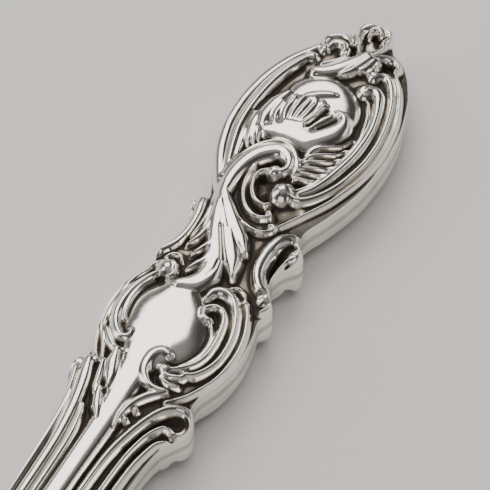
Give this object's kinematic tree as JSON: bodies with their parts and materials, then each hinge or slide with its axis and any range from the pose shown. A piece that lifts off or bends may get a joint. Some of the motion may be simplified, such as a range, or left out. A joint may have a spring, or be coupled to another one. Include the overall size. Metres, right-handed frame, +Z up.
{
  "type": "ice tongs",
  "caption": "Scissor-action silver ice tongs: lapped pivot with a rosette, curved jaws ending in taloned claws, hollow scroll-and-shell handles.",
  "frame": {"origin": "on the pivot axis, at the flat underside of the pivot nut that the tongs rest on", "axes": "+X from the pivot towards the handles, -X towards the claws, +Z up along the pivot axis, tongs lying open"},
  "size_m": [0.1953, 0.0988, 0.0104],
  "materials": {
    "cast_silver": "polished, with dark oxidised recesses",
    "plain_silver": "polished and softly worn",
    "bronze": "turned and burnished",
    "washer_steel": "rolled",
    "cement": "set resin cement"
  },
  "bodies": {
    "left_half": {"left_lever": "plain_silver", "left_claw": "plain_silver", "left_claw_rivets": "plain_silver", "left_ferrule": "plain_silver", "left_handle_front_shell": "cast_silver", "left_handle_back_shell": "cast_silver", "left_handle_filler": "cement", "pivot_screw": "plain_silver", "pivot_nut": "plain_silver", "pivot_rosette": "cast_silver", "pivot_bushing": "bronze", "top_washer": "washer_steel", "center_washer": "washer_steel", "bottom_washer": "washer_steel"},
    "right_half": {"right_lever": "plain_silver", "right_claw": "plain_silver", "right_claw_rivets": "plain_silver", "right_ferrule": "plain_silver", "right_handle_front_shell": "cast_silver", "right_handle_back_shell": "cast_silver", "right_handle_filler": "cement"}
  },
  "joints": [
    {"name": "pivot_hinge", "type": "hinge", "parent": "left_half", "child": "right_half", "pos_m": [0, 0, 0.0048], "axis": [0, 0, 1], "range_deg": [-24, 38]}
  ]
}
